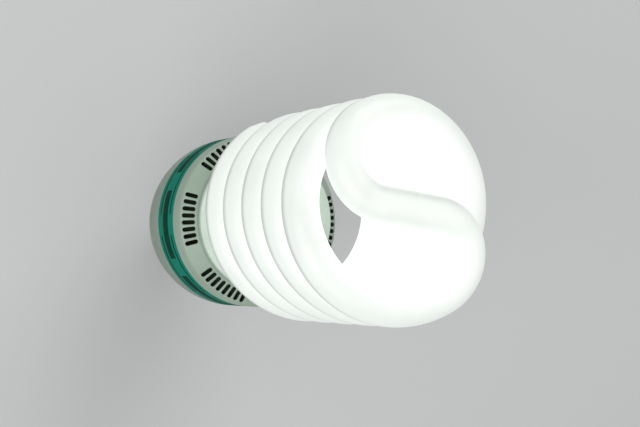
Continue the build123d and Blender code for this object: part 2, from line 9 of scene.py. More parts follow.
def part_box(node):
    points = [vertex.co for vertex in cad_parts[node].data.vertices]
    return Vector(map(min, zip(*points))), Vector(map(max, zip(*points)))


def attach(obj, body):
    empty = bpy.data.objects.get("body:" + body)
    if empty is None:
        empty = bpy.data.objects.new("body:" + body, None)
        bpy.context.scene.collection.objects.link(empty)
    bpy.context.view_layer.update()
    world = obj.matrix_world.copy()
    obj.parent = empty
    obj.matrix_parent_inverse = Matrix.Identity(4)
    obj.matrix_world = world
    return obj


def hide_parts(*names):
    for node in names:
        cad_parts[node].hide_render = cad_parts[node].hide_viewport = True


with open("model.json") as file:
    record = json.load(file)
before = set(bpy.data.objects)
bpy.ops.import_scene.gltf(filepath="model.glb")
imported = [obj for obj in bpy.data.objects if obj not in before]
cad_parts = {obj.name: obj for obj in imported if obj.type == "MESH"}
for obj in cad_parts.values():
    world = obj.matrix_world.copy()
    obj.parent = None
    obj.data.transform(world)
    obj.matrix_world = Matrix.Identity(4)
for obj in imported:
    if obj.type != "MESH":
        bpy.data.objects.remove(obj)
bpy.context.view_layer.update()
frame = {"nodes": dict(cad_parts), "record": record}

bl_info = {
    "name": "Spiral fluorescent bulb",
    "version": (1, 0, 0),
    "blender": (4, 5, 0),
    "location": "View3D > Sidebar > Bulb",
    "description": "Glass, housing, print, screw cap and finishes of a compact fluorescent bulb",
    "category": "Object",
}

# Where the frame puts the pieces: lowest and highest corners, in metres
GLASS_LOW, GLASS_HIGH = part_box("spiral_tube")
CEMENT_LOW, CEMENT_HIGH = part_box("tube_cement")
COVER_LOW, COVER_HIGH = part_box("upper_cover")
HOUSING_LOW, HOUSING_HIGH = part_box("lower_housing")
BAND_LOW, BAND_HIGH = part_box("colour_band")
SHELL_LOW, SHELL_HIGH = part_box("screw_shell")
INSULATOR_LOW, INSULATOR_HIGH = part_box("cap_insulator")
CONTACT_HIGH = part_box("centre_contact")[1]

# Outer radius of a cement ring, and the distance of the rings and legs from the axis
RING_R = (CEMENT_HIGH.y - CEMENT_LOW.y) / 2
LEG_R = CEMENT_HIGH.x - RING_R
LEG_PLACES = (Vector((LEG_R, 0, 0)), Vector((-LEG_R, 0, 0)))

MM = 0.001
TURN = 2 * math.pi
# Corners closer than MERGE are one; pieces that fit into each other leave FIT between them
MERGE = 0.002 * MM
FIT = 0.1 * MM


def length(description, millimetres):
    """A size, given in millimetres and kept in metres."""
    return FloatProperty(description=description, default=millimetres * MM, precision=5, unit="LENGTH")


def angle(description, degrees):
    """A turn, given in degrees."""
    return FloatProperty(description=description, default=math.radians(degrees), unit="ROTATION")


def number(description, default):
    """A plain number."""
    return FloatProperty(description=description, default=default)


def count(description, default):
    """A whole number."""
    return IntProperty(description=description, default=default, min=1)


def spot(description, *place):
    """A place in metres."""
    return FloatVectorProperty(description=description, default=place, subtype="TRANSLATION")


def colour(description, *parts):
    """A colour in linear light."""
    return FloatVectorProperty(description=description, default=parts, min=0, max=1, subtype="COLOR")


class GlassSizes(bpy.types.PropertyGroup):
    """Sizes of the glass spiral and its cement."""

    tube: length("Outer diameter of the glass tube", 17)
    gap: length("Clear height between two passes of the coil", 4.3)
    turns: number("Turns of each arm before the crown", 2.18)
    climb: angle("Turn of each arm while it climbs to the crown", 114.8)
    rise: length("Height from the coil's end to the crown's middle", 19.8)
    dip: length("How far the crown sags on its way to the middle", 3.5)
    slack: length("What the crown's lobes leave free of the coil's radius", 5.2)
    lift: length("Height of the coil's start over the cover", 34)
    leg_turn: angle("Turn from a leg to the start of its helix", 30)
    leg_stand: length("Straight height of a leg over the cover", 6)
    leg_pull: length("Reach of the bend between leg and helix", 16)
    cement_crown: length("How far the cement creeps up the glass", 0.7)
    segments: count("Faces round the tube", 48)
    knots: count("Curve points in a turn of the helix", 18)
    crown_knots: count("Curve points in the crown's climb, and again in its lobe", 6)


class HousingSizes(bpy.types.PropertyGroup):
    """Sizes of the cover, the bowl and the print."""

    cover_wall: length("Wall of the upper cover", 2.2)
    skirt: length("Height of the cover's upright skirt", 8.2)
    shoulder_in: length("How far the sloped shoulder comes in", 8.2)
    shoulder_round: length("Rounding where the skirt meets the shoulder", 2)
    deck: length("Height of the raised deck over the shoulder", 5)
    foot_round: length("Rounding where the shoulder meets the deck's wall", 1)
    crest_round: length("Rounding of the deck's upper edge", 0.9)
    plug_wall: length("Wall of the ring that snaps into the bowl", 2)
    slot_length: length("Length of a vent slot", 7)
    slot_width: length("Width of a vent slot", 2.3)
    slot_lip: length("Rounded edge of a vent slot", 0.28)
    slot_seat: number("Share of the shoulder's slope below the slots' middle", 0.51)
    slot_step: angle("Turn from one slot to the next", 4.85)
    slots: count("Slots in a group", 8)
    groups: count("Groups of slots on each side of the legs", 3)
    group_step: angle("Turn from one group of slots to the next", 58.2)
    sleeve_wall: length("Wall of the sleeves that hold the legs", 1.2)
    bore_lip: length("Chamfer at the mouth of a leg's bore", 0.4)
    wall: length("Wall of the lower bowl", 2.4)
    neck: length("Radius of the neck's flange over the screw cap", 16)
    neck_step: length("Height of the neck's flange", 1.8)
    neck_wall: length("Wall of the neck inside the screw cap", 2)
    band_depth: length("Depth of the groove that the print lies in", 0.5)
    seam: length("Softened edge at the seam between cover and bowl", 0.3)
    band_edge: length("Rounding of the printed film's edges", 0.12)
    dashes: count("Thick dashes round the band", 6)
    dash: angle("Turn that one thick dash of the print covers", 46.4)
    dash_width: length("Width of the thick dashes", 7)
    line_break: angle("Turn of the breaks in the thin lines", 14)
    line_width: length("Width of the thin lines", 1.6)
    line_offset: length("From the middle of the dashes to a thin line", 6.6)
    print_lift: length("From the band's lower edge to the middle of the dashes", 10.5)
    print_turn: angle("Azimuth of the middle of a dash", 93.1)


class CapSizes(bpy.types.PropertyGroup):
    """Sizes of the screw cap."""

    collar: length("Radius of the plain collar", 13)
    collar_length: length("Height of the collar with its slope", 6.2)
    collar_slope: length("Height of the slope from the thread to the collar", 1.8)
    root: length("Radius at the root of the thread", 12.1)
    pitch: length("Rise of the thread in a turn", 3.629)
    flank: length("Height of the thread's ridge at its root", 2.8)
    fade: length("Rise over which the thread runs out", 0.9)
    sheet: length("Thickness of the shell's sheet", 0.4)
    lip: length("Radius of the opening at the shell's rolled lip", 10.2)
    lip_rise: length("Height of the rolled lip", 2)
    punch: length("Depth of the punch marks that hold the shell", 0.35)
    punch_size: length("Radius of a punch mark", 0.8)
    punches: count("Punch marks round the collar", 8)
    insulator_low: length("Radius of the insulator round the contact", 5.6)


class Colours(bpy.types.PropertyGroup):
    """Colours of the finishes."""

    phosphor: colour("White of the coated tube", 0.455, 0.48, 0.455)
    phosphor_shade: colour("Duller white where the coat is thin", 0.41, 0.43, 0.415)
    # Also painted shade: this grey darkens the coat on the lower passes' outer edges
    phosphor_ends_and_shade: colour("Grey of the tube near its electrodes", 0.27, 0.28, 0.27)
    glow: colour("Light that the coated tube gives off", 0.455, 0.48, 0.455)
    # Painted shade: a weaker glow where the tube faces out and down
    glow_painted_shade: colour("Weaker light where the tube faces out and down", 0.15, 0.17, 0.15)
    # Painted light of the tube's own other passes, on the surfaces that face each other
    glow_painted_light: colour("Light of the surfaces that face each other", 0.72, 0.735, 0.72)
    glow_ends: colour("Weaker light near the electrodes", 0.3, 0.31, 0.29)
    plastic: colour("White housing as it looks in the bulb's own light", 0.31, 0.4, 0.32)
    # Painted light of the lit tube on the deck
    deck_painted_light: colour("Lighter tone of the deck under the coil", 0.6, 0.7, 0.61)
    # Painted shade on the bowl towards its neck
    bowl_painted_shade: colour("Duller tone of the bowl towards its neck", 0.21, 0.28, 0.22)
    # Painted shade on the cover's inner faces
    inside: colour("Dark inner face of the cover", 0.012, 0.016, 0.013)
    teal: colour("Light teal of the print", 0.007, 0.22, 0.15)
    dark_teal: colour("Dark teal of the dashes and lines", 0.0004, 0.038, 0.023)
    nickel: colour("Plated sheet of the screw shell", 0.66, 0.65, 0.62)
    cap_glass: colour("Black glass of the insulator", 0.012, 0.011, 0.014)
    solder: colour("Dull grey of the soldered contact", 0.5, 0.5, 0.5)
    cement: colour("Chalky cement round the legs", 0.62, 0.64, 0.6)
    floor: colour("Pale floor", 0.6, 0.61, 0.61)


class StageSizes(bpy.types.PropertyGroup):
    """Camera, floor and lights."""

    target: length("Height on the bulb's axis that the camera looks at", 186.7)
    distance: length("From the camera to that point", 689.946)
    tilt: angle("Turn of the view from the bulb's axis", 28.042)
    azimuth: angle("Side of the bulb that the camera is on", 94.75)
    roll: angle("Turn of the picture", -4.306)
    aside: length("Step of the camera to its right", 1.032)
    above: length("Step of the camera upwards", 1.268)
    lens: number("Focal length in millimetres", 76.983)
    floor_size: length("Side of the floor", 9000)
    sky: number("Strength of the even light", 0.5)
    key: number("Power of the main soft box in watts", 11.5)
    key_side: length("Side of the main soft box", 1300)
    key_place: spot("Middle of the main soft box", -0.55, 0.95, 1.1)
    fill: number("Power of the second soft box in watts", 7.5)
    fill_side: length("Side of the second soft box", 1000)
    fill_place: spot("Middle of the second soft box", 1.1, -0.5, 0.9)


def rest():
    """Leaves edit mode and deselects everything."""
    if bpy.context.object and bpy.context.object.mode != "OBJECT":
        bpy.ops.object.mode_set(mode="OBJECT")
    bpy.ops.object.select_all(action="DESELECT")


def choose(*pieces):
    """Selects these pieces alone, the first one active."""
    rest()
    for piece in pieces:
        piece.select_set(True)
    bpy.context.view_layer.objects.active = pieces[0]


def edit(piece):
    """Opens edit mode with the whole piece selected."""
    choose(piece)
    bpy.ops.object.mode_set(mode="EDIT")
    bpy.ops.mesh.select_all(action="SELECT")


def close_up():
    """Merges doubles, drops loose edges, turns the faces outwards and leaves edit mode."""
    bpy.ops.mesh.select_all(action="SELECT")
    bpy.ops.mesh.remove_doubles(threshold=MERGE)
    bpy.ops.mesh.delete_loose(use_verts=True, use_edges=True, use_faces=False)
    bpy.ops.mesh.select_all(action="SELECT")
    bpy.ops.mesh.normals_make_consistent(inside=False)
    rest()


def joined(pieces):
    """Joins pieces into the first one."""
    choose(*pieces)
    bpy.ops.object.join()
    return bpy.context.object


def cut(piece, cutter, operation="DIFFERENCE"):
    """Applies a boolean with the cutter and removes the cutter."""
    choose(piece)
    change = piece.modifiers.new("cut", "BOOLEAN")
    change.operation = operation
    change.solver = "EXACT"
    change.object = cutter
    bpy.ops.object.modifier_apply(modifier=change.name)
    choose(cutter)
    bpy.ops.object.delete()


def rounded(corners, steps=6):
    """Outline of (radius, height, rounding) corners, with arcs where a corner has a rounding."""
    outline = []
    for i, (radius, height, rounding) in enumerate(corners):
        corner = Vector((radius, height))
        if rounding == 0:
            outline.append(corner)
            continue
        before = (Vector(corners[i - 1][:2]) - corner).normalized()
        after = (Vector(corners[(i + 1) % len(corners)][:2]) - corner).normalized()
        half = before.angle(after) / 2
        centre = corner + (before + after).normalized() * rounding / math.sin(half)
        start = corner + before * rounding / math.tan(half) - centre
        sweep = start.angle_signed(corner + after * rounding / math.tan(half) - centre)
        for step in range(steps + 1):
            outline.append(centre + Matrix.Rotation(-sweep * step / steps, 2) @ start)
    return outline


def turned(name, outline, steps=192):
    """A piece turned round the bulb's axis from the closed outline of its section."""
    rest()
    bpy.ops.mesh.primitive_circle_add(vertices=len(outline), radius=max(r for r, z in outline))
    piece = bpy.context.object
    piece.name = name
    for corner, (radius, height) in zip(piece.data.vertices, outline):
        corner.co = (radius, 0, height)
    edit(piece)
    bpy.ops.mesh.spin(steps=steps, angle=TURN, center=(0, 0, 0), axis=(0, 0, 1))
    close_up()
    return piece


def at_legs(name, outline, steps):
    """The same turned piece round both legs, joined into one."""
    pieces = []
    for place in LEG_PLACES:
        piece = turned(name, outline, steps)
        edit(piece)
        bpy.ops.transform.translate(value=place)
        rest()
        pieces.append(piece)
    return joined(pieces)


def settle(piece, node, finishes, smooth=35):
    """Smooths the piece up to an angle in degrees, gives it its finishes and its place in the frame."""
    choose(piece)
    bpy.ops.object.shade_smooth_by_angle(angle=math.radians(smooth))
    for finish in finishes:
        piece.data.materials.append(finish)
    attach(piece, "root")
    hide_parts(node)
    rest()


class Finish:
    """A material in the making, painted by Object coordinates."""

    def __init__(self, name, **sockets):
        self.material = bpy.data.materials.new(name)
        self.material.use_nodes = True
        self.tree = self.material.node_tree
        self.shader = self.tree.nodes["Principled BSDF"]
        for key, value in sockets.items():
            self.shader.inputs[key.replace("_", " ").title().replace("Ior", "IOR")].default_value = value
        self.place = self.put("ShaderNodeTexCoord").outputs["Object"]

    def put(self, kind, feeds=None, **settings):
        """Adds a node, sets it up and feeds its inputs with values or other nodes' outputs."""
        made = self.tree.nodes.new(kind)
        for key, value in settings.items():
            setattr(made, key, value)
        for key, value in (feeds or {}).items():
            if isinstance(value, bpy.types.NodeSocket):
                self.tree.links.new(value, made.inputs[key])
            else:
                made.inputs[key].default_value = value
        return made

    def paint(self, **feeds):
        """Links node outputs to the shader's inputs and gives the material."""
        for key, output in feeds.items():
            self.tree.links.new(output, self.shader.inputs[key.replace("_", " ").title()])
        return self.material

    def split(self, vector=None):
        """The three parts of a vector, or of the place."""
        return self.put("ShaderNodeSeparateXYZ", {0: vector or self.place}).outputs

    def reach(self):
        """Distance of the place from the bulb's axis."""
        feeds = {0: self.place, 1: (1, 1, 0)}
        level = self.put("ShaderNodeVectorMath", feeds, operation="MULTIPLY").outputs[0]
        return self.put("ShaderNodeVectorMath", {0: level}, operation="LENGTH").outputs["Value"]

    def drawn(self, scale):
        """The place, stretched along each axis."""
        return self.put("ShaderNodeMapping", {"Vector": self.place, "Scale": scale}).outputs[0]

    def calc(self, operation, *terms):
        """Result of a maths node."""
        return self.put("ShaderNodeMath", dict(enumerate(terms)), operation=operation).outputs[0]

    def times(self, first, second):
        """Product of two values."""
        return self.calc("MULTIPLY", first, second)

    def most(self, first, second):
        """The larger of two values."""
        return self.calc("MAXIMUM", first, second)

    def ramp(self, value, low, high, to_low=0.0, to_high=1.0):
        """The value, eased from one range to another."""
        feeds = {"Value": value, "From Min": low, "From Max": high, "To Min": to_low, "To Max": to_high}
        return self.put("ShaderNodeMapRange", feeds, interpolation_type="SMOOTHSTEP").outputs[0]

    def fade(self, value, low, high, share=1.0):
        """A share that eases to nothing from the low value to the high one."""
        return self.ramp(value, low, high, share, 0.0)

    def blend(self, share, *tones):
        """Mix of two colours by a share."""
        first, second = [tone if isinstance(tone, bpy.types.NodeSocket) else (*tone, 1.0) for tone in tones]
        return self.put("ShaderNodeMix", {0: share, 6: first, 7: second}, data_type="RGBA").outputs[2]

    def tinted(self, share, shade, factor):
        """Mix of a colour with a darker or lighter tone of it."""
        return self.blend(share, shade, [factor * part for part in shade])

    def noise(self, scale, detail=3.0, roughness=0.5, place=None):
        """Value of a noise texture."""
        feeds = {"Vector": place or self.place, "Scale": scale, "Detail": detail, "Roughness": roughness}
        return self.put("ShaderNodeTexNoise", feeds).outputs["Fac"]

    def wave(self, axis, scale, **feeds):
        """Value of a banded wave texture."""
        feeds = {"Vector": self.place, "Scale": scale, **feeds}
        return self.put("ShaderNodeTexWave", feeds, bands_direction=axis).outputs["Fac"]

    def bumped(self, height, strength, distance):
        """Normal of a bumped surface."""
        feeds = {"Height": height, "Strength": strength, "Distance": distance}
        return self.put("ShaderNodeBump", feeds).outputs["Normal"]


def phosphor_glass(colours, sizes):
    """White phosphor behind clear glass, lit: brightest inside the coil by painted light, weaker and greyer
    at its edges by painted shade, weaker at its burnt ends.
    """
    look = Finish(
        "phosphor_glass", roughness=0.4, coat_weight=0.7, coat_roughness=0.5, emission_strength=1.0
    )
    coil_r = GLASS_HIGH.x - sizes.tube / 2
    coil_z = COVER_HIGH.z + sizes.lift
    crown_z = GLASS_HIGH.z - 0.9 * sizes.tube
    height = look.split()["Z"]
    reach = look.reach()
    facing = look.split(look.put("ShaderNodeAttribute", attribute_name="facing").outputs["Vector"])
    outward = facing["X"]
    aside = facing["Z"]

    # Where a place lies: away from the axis, below the crown, in the crown, on the crown's bar
    apart = look.ramp(reach, 0.4 * coil_r, 0.8 * coil_r)
    below = look.fade(height, crown_z - sizes.tube / 2, crown_z)
    crown = look.calc("SUBTRACT", 1.0, below)
    bar = look.times(look.calc("SUBTRACT", 1.0, apart), crown)

    # Painted light, as stronger glow: inside the coil, towards the axis, along the middle of the bar
    inside = look.times(look.fade(reach, coil_r - 4 * MM, coil_r + 4 * MM), below)
    shaded = look.times(crown, look.calc("MULTIPLY_ADD", aside, 0.3, 0.25))
    turned_in = look.times(look.fade(look.calc("ADD", outward, shaded), -0.8, 0.9), apart)
    off_ridge = look.calc("ABSOLUTE", look.calc("ADD", aside, 0.2))
    ridge = look.times(bar, look.fade(off_ridge, 0.1, 0.8, 0.34))
    painted_glow = look.most(look.most(turned_in, ridge), inside)

    # Painted shade, as weaker glow: the outer and lower edges of the passes, one edge of the bar; weaker
    # glow also at the burnt ends
    turned_out = look.calc("MULTIPLY_ADD", facing["Y"], -0.4, outward)
    edges = look.times(look.ramp(turned_out, 0.88, 1.09), apart)
    bar_edge = look.times(bar, look.ramp(aside, 0.2, 0.9, 0.0, 0.55))
    painted_dim = look.most(bar_edge, edges)
    uneven = look.calc("MULTIPLY_ADD", look.noise(scale=120), 6 * MM, height)
    burnt = look.fade(uneven, COVER_HIGH.z, COVER_HIGH.z + 22 * MM, 0.85)

    cloud = look.ramp(look.noise(scale=45, detail=4), 0.35, 0.75)
    white = look.blend(cloud, colours.phosphor, colours.phosphor_shade)
    # Painted shade: the coat greys on the outer and lower edges of the lowest passes
    low_edge_shade = look.times(painted_dim, look.fade(height, coil_z, coil_z + sizes.lift / 2, 0.9))
    coat = look.blend(look.most(burnt, low_edge_shade), white, colours.phosphor_ends_and_shade)
    lit = look.blend(painted_glow, colours.glow, colours.glow_painted_light)
    spread = look.blend(painted_dim, lit, colours.glow_painted_shade)
    light = look.blend(burnt, spread, colours.glow_ends)
    ripple = look.bumped(look.noise(scale=70, detail=2), strength=0.08, distance=0.6 * MM)
    return look.paint(base_color=coat, emission_color=light, normal=ripple)


def housing_plastic(colours, sizes):
    """Moulded plastic: satin, with fine grain and slight flow marks; painted light on the deck under the
    coil, painted shade on the bowl towards its neck.
    """
    look = Finish("housing_plastic", ior=1.49)
    drawn = look.drawn((1, 1, 2.5))
    streaks = look.ramp(look.noise(scale=28, detail=5, place=drawn), 0.3, 0.72, 0.0, 0.12)
    height = look.split()["Z"]
    # Painted light of the lit tube makes the deck's top lighter
    deck = look.ramp(height, COVER_HIGH.z - 0.75 * sizes.deck, COVER_HIGH.z)
    # Painted shade makes the bowl darker towards its neck
    bowl = look.fade(height, BAND_LOW.z - 12 * MM, BAND_HIGH.z)
    upper = look.blend(deck, colours.plastic, colours.deck_painted_light)
    clean = look.blend(bowl, upper, colours.bowl_painted_shade)
    tone = look.blend(streaks, clean, (0, 0, 0))
    gloss = look.ramp(look.noise(scale=160, detail=4), 0.3, 0.7, 0.34, 0.46)
    grain = look.bumped(look.noise(scale=2600, detail=2), strength=0.12, distance=0.04 * MM)
    return look.paint(base_color=tone, roughness=gloss, normal=grain)


def cover_painted_shade(colours):
    """Painted shade on the cover's inner faces, dark through the slots."""
    look = Finish("cover_painted_shade", roughness=0.8)
    shade_mottle = look.times(look.noise(scale=240, detail=4), 1.4)
    return look.paint(base_color=look.tinted(shade_mottle, colours.inside, 1.8))


def band_print(colours, sizes):
    """Two-tone teal print: a ring of thick dashes between two thin broken lines."""
    look = Finish("band_print", specular_ior_level=0.03)
    parts = look.split()
    around = look.calc("ARCTAN2", parts["Y"], parts["X"])
    period = TURN / sizes.dashes
    shifted = look.calc("SUBTRACT", around, sizes.print_turn - period / 2)
    from_start = look.calc("FLOORED_MODULO", shifted, period)
    along = look.calc("ABSOLUTE", look.calc("SUBTRACT", from_start, period / 2))
    rag = 0.16 * MM
    print_z = BAND_LOW.z + sizes.print_lift - rag / 2
    ragged = look.calc("MULTIPLY_ADD", look.noise(scale=1500, detail=2), rag, print_z)
    across = look.calc("ABSOLUTE", look.calc("SUBTRACT", parts["Z"], ragged))
    from_line = look.calc("ABSOLUTE", look.calc("SUBTRACT", across, sizes.line_offset))
    soft = 0.12 * MM
    soft_turn = soft / BAND_HIGH.x
    dash_end = look.fade(along, sizes.dash / 2 - soft_turn, sizes.dash / 2 + soft_turn)
    dash_side = look.fade(across, sizes.dash_width / 2 - soft, sizes.dash_width / 2 + soft)
    break_end = look.ramp(along, sizes.line_break / 2 - soft_turn, sizes.line_break / 2 + soft_turn)
    line_side = look.fade(from_line, sizes.line_width / 2 - soft, sizes.line_width / 2 + soft)
    dashes = look.times(dash_end, dash_side)
    lines = look.times(break_end, line_side)
    ink = look.most(dashes, lines)
    uneven = look.noise(scale=90, detail=4)
    light = look.tinted(look.ramp(uneven, 0.3, 0.7), colours.teal, 0.88)
    dark = look.tinted(uneven, colours.dark_teal, 1.3)
    gloss = look.ramp(look.noise(scale=300), 0.3, 0.7, 0.5, 0.62)
    film = look.bumped(ink, strength=0.25, distance=0.02 * MM)
    return look.paint(base_color=look.blend(ink, light, dark), roughness=gloss, normal=film)


def plated_sheet(colours, sizes):
    """Rolled and plated sheet: drawn lines round the shell, duller in the roots of the thread."""
    look = Finish("plated_sheet", metallic=1.0)
    # The sheet is darker towards the roots of the thread
    crest_share = look.ramp(look.reach(), sizes.root + FIT, SHELL_HIGH.x - FIT)
    feeds = {"W": look.times(look.split()["Z"], 9000), "Scale": 1.0, "Detail": 2.0}
    lines = look.put("ShaderNodeTexNoise", feeds, noise_dimensions="1D").outputs["Fac"]
    stain = look.ramp(look.noise(scale=260, detail=5), 0.42, 0.8, 0.0, 0.35)
    dull = [0.62 * part for part in colours.nickel]
    clean = look.blend(crest_share, dull, colours.nickel)
    tone = look.blend(stain, clean, dull)
    gloss = look.calc("MULTIPLY_ADD", look.noise(scale=420, detail=4), 0.22, 0.16)
    drawn = look.bumped(lines, strength=0.12, distance=0.03 * MM)
    return look.paint(base_color=tone, roughness=gloss, normal=drawn)


def black_glass(colours):
    """Pressed black glass of the insulator, with faint swirls."""
    look = Finish("black_glass", ior=1.52)
    swirl = look.noise(scale=210, detail=5)
    tone = look.tinted(swirl, colours.cap_glass, 2.4)
    gloss = look.ramp(look.noise(scale=500), 0.3, 0.7, 0.1, 0.24)
    waves = look.bumped(swirl, strength=0.15, distance=0.2 * MM)
    return look.paint(base_color=tone, roughness=gloss, normal=waves)


def solder_drop(colours):
    """Solder, dull and slightly puckered."""
    look = Finish("solder_drop", metallic=1.0)
    pucker = look.noise(scale=900, detail=5)
    tone = look.tinted(pucker, colours.solder, 0.7)
    gloss = look.ramp(pucker, 0.3, 0.7, 0.28, 0.5)
    skin = look.bumped(pucker, strength=0.35, distance=0.15 * MM)
    return look.paint(base_color=tone, roughness=gloss, normal=skin)


def chalk_cement(colours):
    """Chalky cement with pores."""
    look = Finish("chalk_cement", roughness=0.9)
    crumbs = look.noise(scale=1300, detail=5, roughness=0.6)
    pores = look.put("ShaderNodeTexVoronoi", {"Vector": look.place, "Scale": 900.0}).outputs["Distance"]
    height = look.times(crumbs, look.ramp(pores, 0.05, 0.3))
    tone = look.tinted(crumbs, colours.cement, 0.78)
    return look.paint(base_color=tone, normal=look.bumped(height, strength=0.5, distance=0.2 * MM))


def grained(name, light, dark, scale, gloss, metallic=0.0, depth=0.1 * MM, stretch=(1, 1, 1)):
    """Small component: two tones, uneven gloss and a bumped grain."""
    look = Finish(name, metallic=metallic)
    drawn = look.drawn(stretch)
    grain = look.noise(scale, detail=5, roughness=0.55, place=drawn)
    tone = look.blend(look.ramp(grain, 0.28, 0.74), light, dark)
    shine = look.ramp(look.noise(scale / 3), 0.3, 0.7, gloss, gloss + 0.14)
    skin = look.bumped(grain, strength=0.3, distance=depth)
    return look.paint(base_color=tone, roughness=shine, normal=skin)


def wound_wire():
    """Enamelled wire laid turn on turn."""
    look = Finish("copper_wire", metallic=0.85, roughness=0.32)
    laid = look.wave("Z", 420, **{"Distortion": 0.6, "Detail": 1.0, "Detail Scale": 2.0})
    shade = look.times(laid, look.noise(scale=700))
    tone = look.blend(shade, (0.28, 0.09, 0.03), (0.72, 0.3, 0.12))
    return look.paint(base_color=tone, normal=look.bumped(laid, strength=0.8, distance=0.2 * MM))


def woven_laminate():
    """Board laminate with a faint weave under its lacquer."""
    look = Finish("board_laminate", coat_weight=0.3, coat_roughness=0.2)
    weave = look.times(look.wave("X", 300), look.wave("Y", 300))
    cloud = look.noise(scale=120, detail=4)
    mixed = look.calc("MULTIPLY_ADD", cloud, 0.6, look.times(weave, 0.4))
    gloss = look.ramp(mixed, 0.2, 0.8, 0.4, 0.55)
    tone = look.blend(mixed, (0.12, 0.17, 0.08), (0.06, 0.09, 0.04))
    skin = look.bumped(weave, strength=0.2, distance=0.05 * MM)
    return look.paint(base_color=tone, roughness=gloss, normal=skin)


def banded_body(name, base, bands, step, axis):
    """Small axial body with painted rings along its length."""
    look = Finish(name, coat_weight=0.2, coat_roughness=0.15)
    rings = look.wave(axis, 1 / step)
    glaze = look.noise(scale=900, detail=4)
    gloss = look.ramp(glaze, 0.3, 0.7, 0.3, 0.45)
    tone = look.blend(look.ramp(rings, 0.72, 0.8), look.tinted(glaze, base, 0.8), bands)
    skin = look.bumped(glaze, strength=0.15, distance=0.1 * MM)
    return look.paint(base_color=tone, roughness=gloss, normal=skin)


# By material slot: light tone, dark tone, scale of the grain, gloss, metal, depth, stretch
GRAINS = {
    "can_sleeve": ((0.02, 0.024, 0.03), (0.008, 0.01, 0.014), 300, 0.25, 0, 0.03 * MM),
    "ferrite": ((0.045, 0.043, 0.042), (0.02, 0.02, 0.021), 1500, 0.6),
    "bobbin_plastic": ((0.05, 0.05, 0.05), (0.03, 0.03, 0.03), 260, 0.4),
    "epoxy": ((0.022, 0.022, 0.024), (0.012, 0.012, 0.013), 1900, 0.5, 0, 0.05 * MM),
    "sink_metal": ((0.78, 0.78, 0.79), (0.6, 0.6, 0.62), 500, 0.3, 1, 0.04 * MM, (1, 1, 0.06)),
    "film_box": ((0.48, 0.07, 0.05), (0.38, 0.05, 0.035), 420, 0.3, 0, 0.04 * MM),
    "fuse_body": ((0.8, 0.79, 0.74), (0.66, 0.65, 0.6), 700, 0.35),
    "thermistor_body": ((0.12, 0.3, 0.2), (0.07, 0.2, 0.13), 600, 0.35),
    "pin_metal": ((0.76, 0.6, 0.28), (0.56, 0.43, 0.19), 1100, 0.28, 1, 0.04 * MM),
    "lead_metal": ((0.72, 0.72, 0.72), (0.5, 0.5, 0.51), 1300, 0.3, 1, 0.04 * MM),
    "wire_cover": ((0.82, 0.8, 0.76), (0.68, 0.66, 0.62), 800, 0.4),
}

# By material slot: tone of the body, tone of its rings, spacing of the rings, direction
RINGED = {
    "resistor_body": ((0.56, 0.42, 0.24), (0.16, 0.05, 0.02), 11.5 * MM, "X"),
    "diode_glass": ((0.1, 0.22, 0.45), (0.02, 0.02, 0.022), 11 * MM, "Y"),
}


def polar(radius, turn, height):
    """A point from its distance to the axis, its turn and its height."""
    return Vector((radius * math.cos(turn), radius * math.sin(turn), height))


